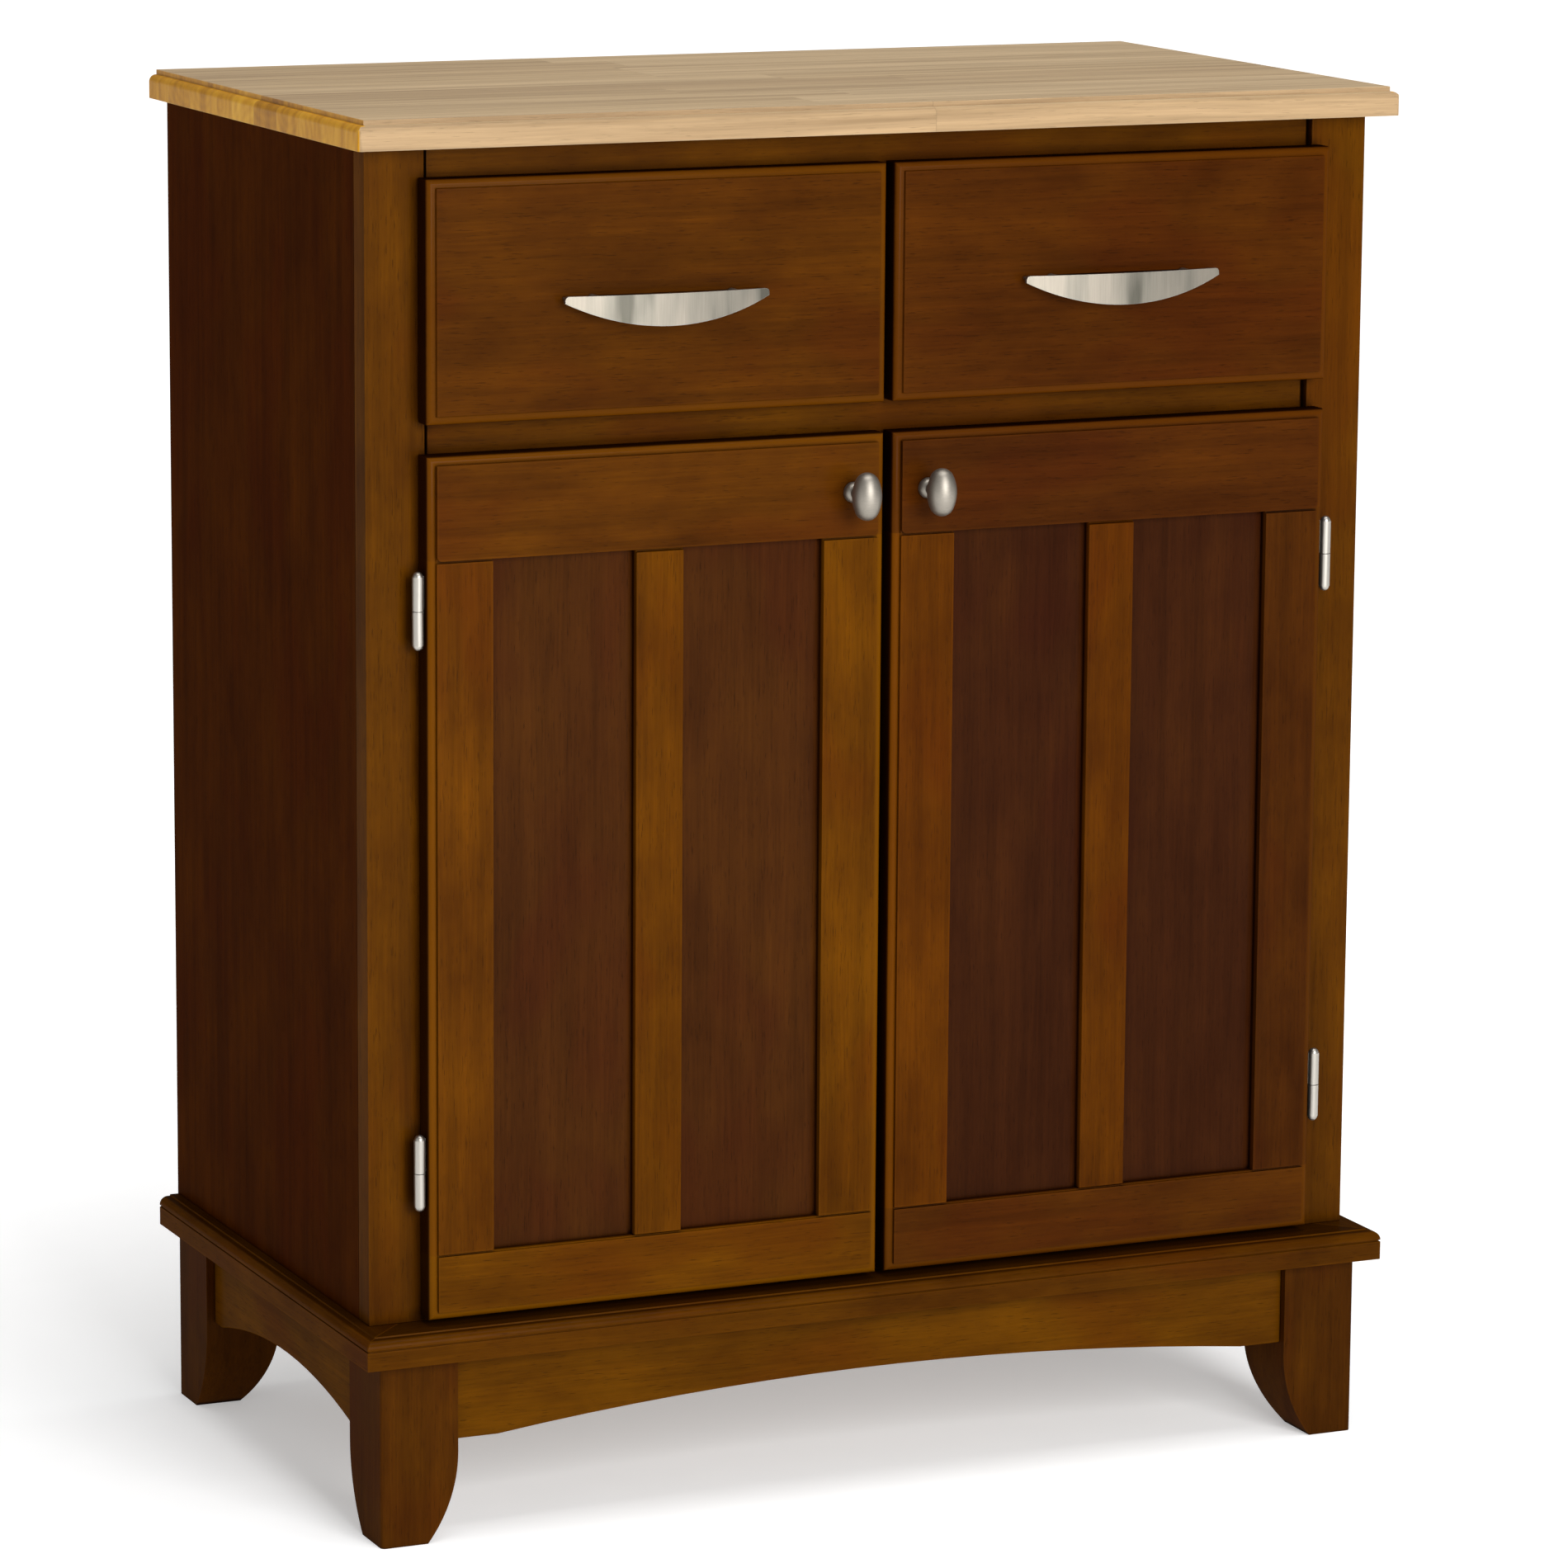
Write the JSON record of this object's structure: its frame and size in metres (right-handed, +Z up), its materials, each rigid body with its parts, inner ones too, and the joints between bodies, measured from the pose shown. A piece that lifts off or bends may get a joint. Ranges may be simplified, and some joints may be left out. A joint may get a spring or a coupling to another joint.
{
  "type": "butcher block cabinet table",
  "caption": "Free-standing kitchen buffet cabinet with a butcher block worktop, drawers over hinged panelled doors, arched aprons and swept legs.",
  "frame": {"origin": "on the floor, at the centre of the footprint of the whole cabinet with its doors and drawers closed", "axes": "+X to the right seen from the front, +Y towards the back, so the fronts face -Y, +Z up"},
  "size_m": [0.736, 0.4264, 0.92],
  "materials": {
    "wood_block": "oiled pale hardwood strips",
    "stained_wood": "brown stain under satin lacquer",
    "stained_panel": "dark brown stain under satin lacquer",
    "inner_board": "stained plywood and pine, matt",
    "drawer_wood": "clear-sealed pine and plywood",
    "brushed_nickel": "brushed satin nickel",
    "steel": "zinc-plated steel",
    "catch_plastic": "moulded, matt"
  },
  "bodies": {
    "cabinet": {"top_slab": "wood_block", "side_panel_left": "stained_wood", "side_panel_right": "stained_wood", "back_panel": "inner_board", "bottom_panel": "inner_board", "dust_panel": "inner_board", "divider_panel": "inner_board", "shelf": "inner_board", "shelf_pins": "steel", "stile_left": "stained_wood", "stile_right": "stained_wood", "rail_top": "stained_wood", "rail_middle": "stained_wood", "rail_bottom": "stained_wood", "divider_stile": "stained_wood", "top_cleats": "inner_board", "top_screws": "steel", "moulding_front": "stained_wood", "mouldings_side": "stained_wood", "moulding_back": "stained_wood", "leg_front_left": "stained_wood", "leg_front_right": "stained_wood", "leg_back_left": "stained_wood", "leg_back_right": "stained_wood", "apron_front": "stained_wood", "aprons_side": "stained_wood", "apron_back": "stained_wood", "corner_blocks": "inner_board", "drawer_runners": "inner_board", "hinge_frame_leaves": "brushed_nickel", "catches": "catch_plastic"},
    "drawer_left": {"drawer_left_front": "stained_wood", "drawer_left_box": "drawer_wood", "drawer_left_bottom": "drawer_wood", "drawer_left_pull": "brushed_nickel", "drawer_left_pull_screws": "steel"},
    "drawer_right": {"drawer_right_front": "stained_wood", "drawer_right_box": "drawer_wood", "drawer_right_bottom": "drawer_wood", "drawer_right_pull": "brushed_nickel", "drawer_right_pull_screws": "steel"},
    "door_left": {"door_left_top_rail": "stained_wood", "door_left_bottom_rail": "stained_wood", "door_left_hinge_stile": "stained_wood", "door_left_meeting_stile": "stained_wood", "door_left_muntin": "stained_wood", "door_left_panels": "stained_panel", "door_left_hinge_leaves": "brushed_nickel", "door_left_knob": "brushed_nickel", "door_left_fixings": "steel"},
    "door_right": {"door_right_top_rail": "stained_wood", "door_right_bottom_rail": "stained_wood", "door_right_hinge_stile": "stained_wood", "door_right_meeting_stile": "stained_wood", "door_right_muntin": "stained_wood", "door_right_panels": "stained_panel", "door_right_hinge_leaves": "brushed_nickel", "door_right_knob": "brushed_nickel", "door_right_fixings": "steel"}
  },
  "joints": [
    {"name": "drawer_left_slide", "type": "slide", "parent": "cabinet", "child": "drawer_left", "axis": [0, -1, 0], "range_m": [0, 0.25]},
    {"name": "drawer_right_slide", "type": "slide", "parent": "cabinet", "child": "drawer_right", "axis": [0, -1, 0], "range_m": [0, 0.25]},
    {"name": "door_left_hinge", "type": "hinge", "parent": "cabinet", "child": "door_left", "pos_m": [-0.32425, -0.17455, 0.427], "axis": [0, 0, -1], "range_deg": [0, 165]},
    {"name": "door_right_hinge", "type": "hinge", "parent": "cabinet", "child": "door_right", "pos_m": [0.32425, -0.17455, 0.427], "axis": [0, 0, 1], "range_deg": [0, 165]}
  ]
}
